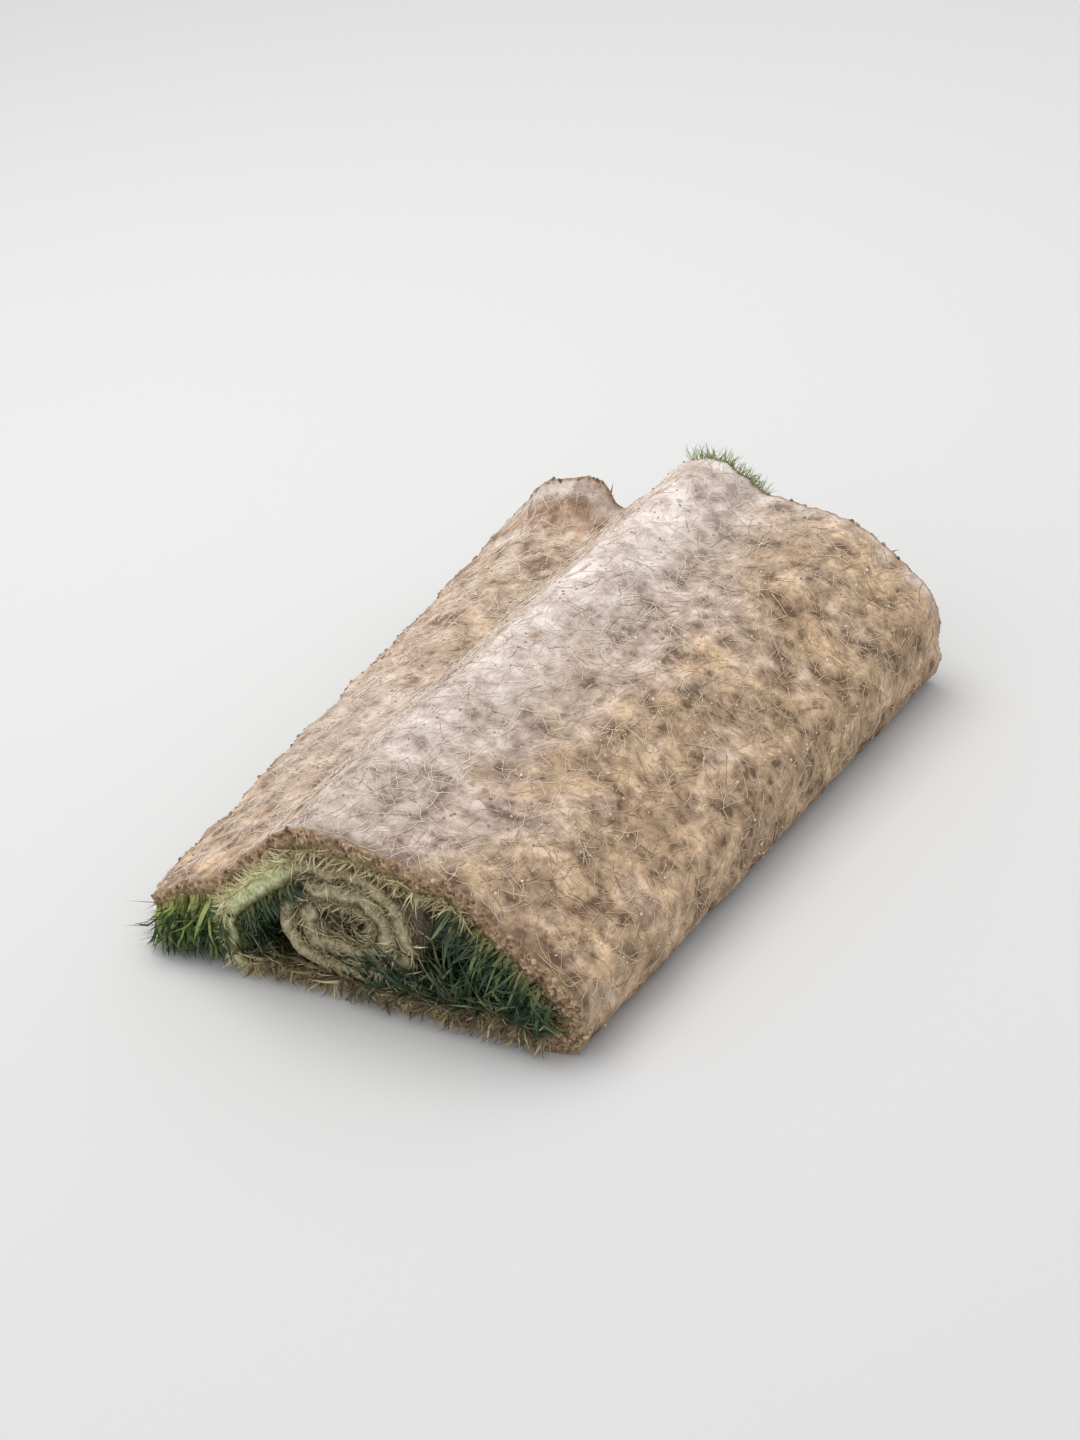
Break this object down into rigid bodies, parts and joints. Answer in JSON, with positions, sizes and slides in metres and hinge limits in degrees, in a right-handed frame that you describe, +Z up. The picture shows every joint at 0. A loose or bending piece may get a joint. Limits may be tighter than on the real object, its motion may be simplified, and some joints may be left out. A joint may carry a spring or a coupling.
{
  "type": "roll of turf",
  "caption": "Rolled strip of garden turf, root side out and grass in, lying on its side with its loose end draped down the left.",
  "frame": {"origin": "on the ground, under the middle of the roll's box", "axes": "+Y along the roll from its near end to its far end, +X away from the loose end, +Z up"},
  "size_m": [0.4566, 0.61, 0.1909],
  "materials": {
    "root_mat": "matt mat of soil and fine roots, pale tan with darker soil specks"
  },
  "bodies": {
    "root": {"turf_roll": "root_mat"}
  },
  "joints": []
}
